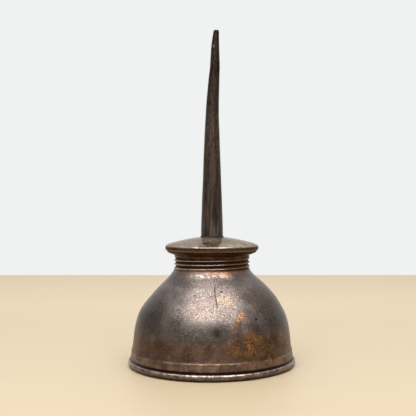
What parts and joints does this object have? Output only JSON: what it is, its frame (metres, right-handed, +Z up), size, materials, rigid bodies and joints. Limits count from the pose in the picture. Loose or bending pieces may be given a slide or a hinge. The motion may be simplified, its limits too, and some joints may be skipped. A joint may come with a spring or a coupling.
{
  "type": "push-bottom oil can",
  "caption": "Small hand oil can: drawn dome on a clinched rim, springy press bottom, and a long tapered spout in a domed screw cap.",
  "frame": {"origin": "centre of the rim's foot, on the surface that the can stands on", "axes": "+Z up along the can's axis to the spout; +X towards the side that the spout's tip leans to; +Y to the back, where the spout's seam is turned from"},
  "size_m": [0.0762, 0.0762, 0.153],
  "materials": {
    "body_shell": "worn copper plate, brown patina",
    "rim_hoop": "worn copper plate, brown patina",
    "seam_solder": "dull solder",
    "bottom_diaphragm": "dark spring steel",
    "pressure_plate": "oily steel",
    "neck_gasket": "oil-soaked leather",
    "screw_collar": "oily steel",
    "cap_dome": "brown patina",
    "spout_tube": "black-brown patina with drawn streaks",
    "spout_seam": "tarnished brazing",
    "spout_solder": "dull solder"
  },
  "bodies": {
    "can": {"body_shell": "body_shell", "rim_hoop": "rim_hoop", "seam_solder": "seam_solder", "bottom_diaphragm": "bottom_diaphragm"},
    "press": {"pressure_plate": "pressure_plate"},
    "washer": {"neck_gasket": "neck_gasket"},
    "cap": {"screw_collar": "screw_collar", "cap_dome": "cap_dome", "spout_tube": "spout_tube", "spout_seam": "spout_seam", "spout_solder": "spout_solder"}
  },
  "joints": [
    {"name": "bottom_press", "type": "slide", "parent": "can", "child": "press", "axis": [0, 0, 1], "range_m": [0, 0.003], "stiffness_N_per_m": 4000, "springref_m": -0.0006, "deforming": ["bottom_diaphragm"]},
    {"name": "cap_lift", "type": "slide", "parent": "can", "child": "washer", "axis": [0, 0, 1], "range_m": [0, 0.00498]},
    {"name": "cap_turn", "type": "hinge", "parent": "washer", "child": "cap", "pos_m": [0, 0, 0.0475], "axis": [0, 0, 1], "range_deg": [0, 990]}
  ],
  "couplings": [
    {"joint": "cap_turn", "follows": "cap_lift", "rad_per_m": 3463.7}
  ]
}
